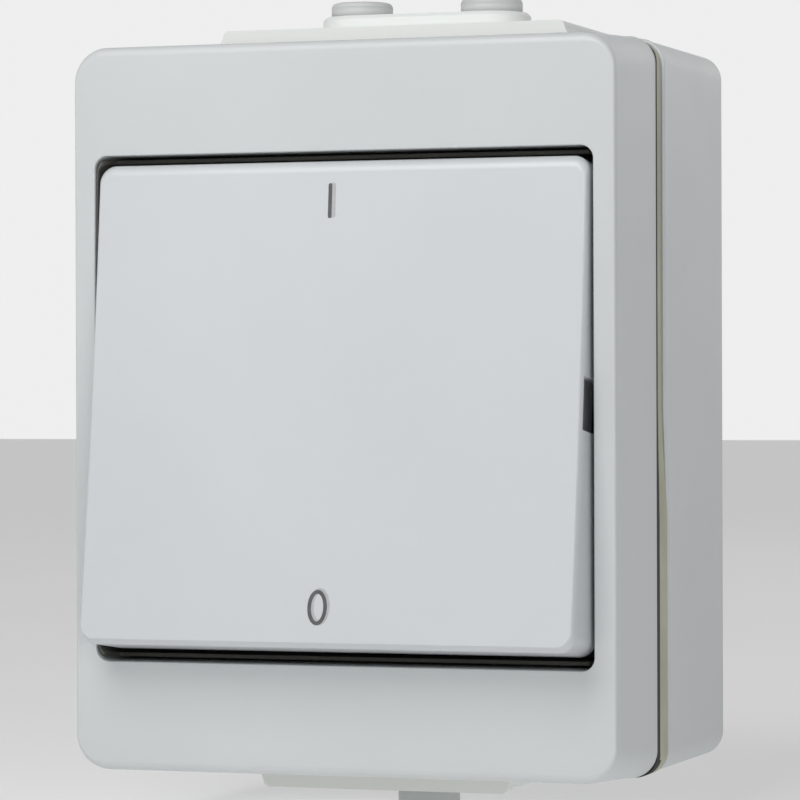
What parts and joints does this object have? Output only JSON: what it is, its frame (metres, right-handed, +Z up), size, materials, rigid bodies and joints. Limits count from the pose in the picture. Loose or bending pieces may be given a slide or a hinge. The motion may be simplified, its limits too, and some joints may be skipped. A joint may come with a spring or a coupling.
{
  "type": "outdoor weatherproof rocker switch",
  "caption": "Surface-mounted weatherproof rocker switch with box housing, seam gasket, large tilting rocker and raised cable entry plates.",
  "frame": {"origin": "centre of the flat back face that lies against the wall", "axes": "+Z up along the height, +X to the right seen from the front, the front looks to -Y and the wall is on +Y"},
  "size_m": [0.066, 0.0511, 0.0972],
  "materials": {
    "housing_plastic": "fine satin moulded surface",
    "rocker_plastic": "smooth satin moulded surface",
    "gasket_rubber": "soft matt beige",
    "seal_rubber": "soft matt dark grey",
    "grommet_rubber": "soft satin light grey",
    "insert_plastic": "matt moulded surface",
    "screw_steel": "zinc plated",
    "contact_brass": "bare stamped brass",
    "tip_silver": "bright contact rivet"
  },
  "bodies": {
    "housing": {"base_box": "housing_plastic", "housing_gasket": "gasket_rubber", "front_cover": "housing_plastic", "window_seal": "seal_rubber", "cover_screws": "screw_steel", "top_entry_plate": "housing_plastic", "bottom_entry_plate": "housing_plastic", "top_grommet_left": "grommet_rubber", "top_grommet_right": "grommet_rubber", "bottom_grommet": "grommet_rubber", "mechanism_housing": "insert_plastic", "mechanism_frame": "insert_plastic", "mechanism_screws": "screw_steel", "common_contact_right": "contact_brass", "common_contact_left": "contact_brass", "fixed_contact_right": "contact_brass", "fixed_contact_left": "contact_brass", "fixed_contact_tips": "tip_silver", "upper_clamp_right": "contact_brass", "upper_clamp_left": "contact_brass", "lower_clamp_right": "contact_brass", "lower_clamp_left": "contact_brass", "terminal_screws": "screw_steel", "earth_terminal": "contact_brass", "earth_screws": "screw_steel"},
    "rocker_unit": {"rocker": "rocker_plastic", "rocker_cradle": "insert_plastic", "plunger_spring_right": "screw_steel", "plunger_spring_left": "screw_steel"},
    "plunger_right_body": {"plunger_right": "insert_plastic"},
    "plunger_left_body": {"plunger_left": "insert_plastic"},
    "lever_right_body": {"contact_lever_right": "contact_brass", "lever_tip_right": "tip_silver"},
    "lever_left_body": {"contact_lever_left": "contact_brass", "lever_tip_left": "tip_silver"}
  },
  "joints": [
    {"name": "rocker_tilt", "type": "hinge", "parent": "housing", "child": "rocker_unit", "pos_m": [0, -0.0432, 0], "axis": [1, 0, 0], "range_deg": [0, 14]},
    {"name": "plunger_right_slide", "type": "slide", "parent": "rocker_unit", "child": "plunger_right_body", "axis": [0, -0.9925, 0.1219], "range_m": [0, 0.0012], "stiffness_N_per_m": 400, "deforming": ["plunger_spring_right"]},
    {"name": "plunger_left_slide", "type": "slide", "parent": "rocker_unit", "child": "plunger_left_body", "axis": [0, -0.9925, 0.1219], "range_m": [0, 0.0012], "stiffness_N_per_m": 400, "deforming": ["plunger_spring_left"]},
    {"name": "lever_right_tilt", "type": "hinge", "parent": "housing", "child": "lever_right_body", "pos_m": [0.0068, -0.019, 0], "axis": [1, 0, 0], "range_deg": [-16, 0]},
    {"name": "lever_left_tilt", "type": "hinge", "parent": "housing", "child": "lever_left_body", "pos_m": [-0.0068, -0.019, 0], "axis": [1, 0, 0], "range_deg": [-16, 0]}
  ],
  "couplings": [
    {"joint": "lever_right_tilt", "follows": "rocker_tilt", "ratio": -1.1429},
    {"joint": "lever_left_tilt", "follows": "rocker_tilt", "ratio": -1.1429}
  ]
}
